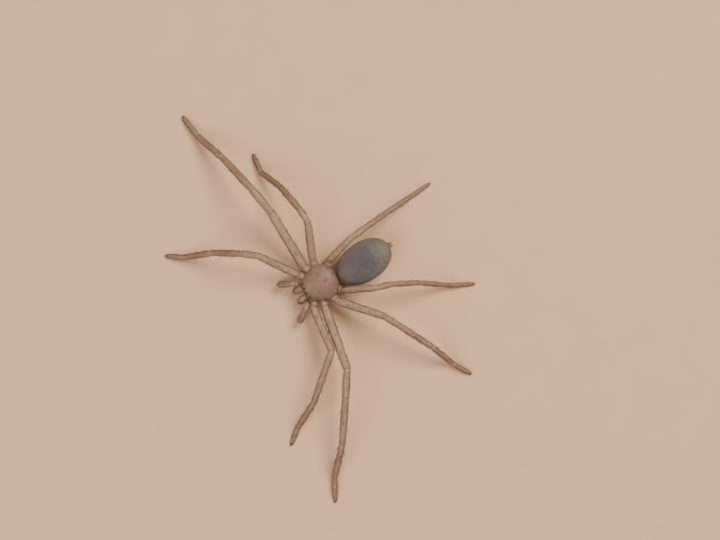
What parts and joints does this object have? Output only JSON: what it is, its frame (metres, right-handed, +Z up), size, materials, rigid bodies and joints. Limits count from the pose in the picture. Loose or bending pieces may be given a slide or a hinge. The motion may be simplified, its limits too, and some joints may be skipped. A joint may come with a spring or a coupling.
{
  "type": "huntsman spider",
  "caption": "Life-size huntsman spider at rest on a floor, flattened, with an egg-shaped abdomen and long legs spread wide in a curved, uneven stance.",
  "frame": {"origin": "on the floor, under the middle of the box around the outstretched legs", "axes": "+Z up, -Y the way the head points, +X the spider's left side"},
  "size_m": [0.0686, 0.0444, 0.0084],
  "materials": {
    "carapace": "smooth horny shield with short lying hair, reddish brown",
    "sternum": "smooth pale brown plate with sparse hair",
    "abdomen": "soft skin under fine lying hair, dark grey brown",
    "leg": "tan, finely haired, with paler streaks and paler joints",
    "leg_end": "brown with a dense dark brush of short hair",
    "chelicera": "dark reddish brown, slightly glossy, with bristles",
    "fang": "glossy horn, almost black",
    "eye": "glossy black lens"
  },
  "bodies": {
    "root": {"cephalothorax": "carapace", "sternum": "sternum", "abdomen": "abdomen", "spinnerets": "leg", "chelicera_right": "chelicera", "chelicera_left": "chelicera", "fang_right": "fang", "fang_left": "fang", "palp_right_base": "leg", "palp_right_club": "leg_end", "palp_left_base": "leg", "palp_left_club": "leg_end", "eye_right_front_middle": "eye", "eye_right_front_side": "eye", "eye_right_rear_middle": "eye", "eye_right_rear_side": "eye", "eye_left_front_middle": "eye", "eye_left_front_side": "eye", "eye_left_rear_middle": "eye", "eye_left_rear_side": "eye", "leg_right_1_coxa": "leg", "leg_right_1_femur": "leg", "leg_right_1_tibia": "leg", "leg_right_1_metatarsus": "leg_end", "leg_right_1_tarsus": "leg_end", "leg_right_2_coxa": "leg", "leg_right_2_femur": "leg", "leg_right_2_tibia": "leg", "leg_right_2_metatarsus": "leg_end", "leg_right_2_tarsus": "leg_end", "leg_right_3_coxa": "leg", "leg_right_3_femur": "leg", "leg_right_3_tibia": "leg", "leg_right_3_metatarsus": "leg_end", "leg_right_3_tarsus": "leg_end", "leg_right_4_coxa": "leg", "leg_right_4_femur": "leg", "leg_right_4_tibia": "leg", "leg_right_4_metatarsus": "leg_end", "leg_right_4_tarsus": "leg_end", "leg_left_1_coxa": "leg", "leg_left_1_femur": "leg", "leg_left_1_tibia": "leg", "leg_left_1_metatarsus": "leg_end", "leg_left_1_tarsus": "leg_end", "leg_left_2_coxa": "leg", "leg_left_2_femur": "leg", "leg_left_2_tibia": "leg", "leg_left_2_metatarsus": "leg_end", "leg_left_2_tarsus": "leg_end", "leg_left_3_coxa": "leg", "leg_left_3_femur": "leg", "leg_left_3_tibia": "leg", "leg_left_3_metatarsus": "leg_end", "leg_left_3_tarsus": "leg_end", "leg_left_4_coxa": "leg", "leg_left_4_femur": "leg", "leg_left_4_tibia": "leg", "leg_left_4_metatarsus": "leg_end", "leg_left_4_tarsus": "leg_end"}
  },
  "joints": []
}
